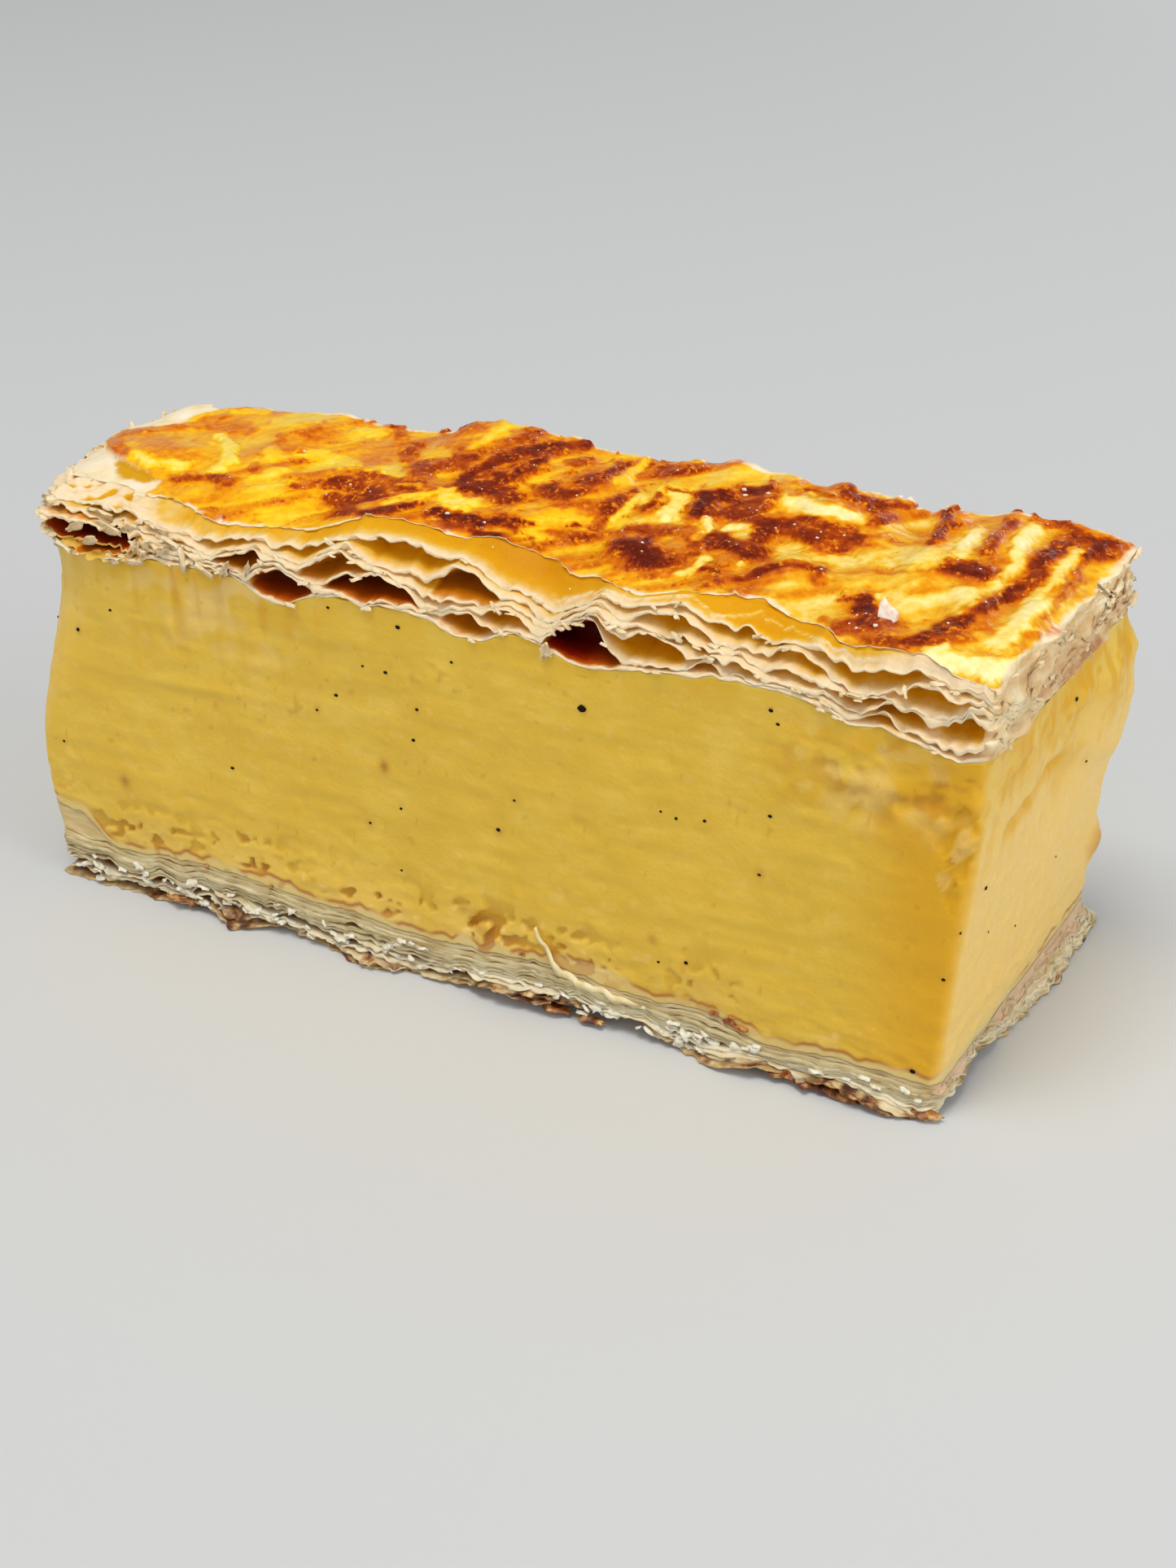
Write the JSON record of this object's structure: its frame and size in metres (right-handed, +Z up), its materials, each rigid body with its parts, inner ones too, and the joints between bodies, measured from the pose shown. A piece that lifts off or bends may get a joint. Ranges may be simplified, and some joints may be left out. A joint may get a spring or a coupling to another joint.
{
  "type": "mille feuille slice",
  "caption": "Oblong slice of set vanilla custard between puff pastry sheets, with a browned, blistered crust on top and flaky cut edges all round.",
  "frame": {"origin": "centre of the base, where the slice rests", "axes": "+X along the slice to the right as seen from the front cut, +Y from the front cut to the back, +Z up"},
  "size_m": [0.126, 0.0454, 0.0536],
  "materials": {
    "bottom_pastry": "dry pale baked pastry leaves",
    "custard": "soft moist sheen",
    "top_pastry": "glazed browned crust over pale leaves"
  },
  "bodies": {
    "root": {"bottom_pastry": "bottom_pastry", "custard": "custard", "top_pastry": "top_pastry"}
  },
  "joints": []
}
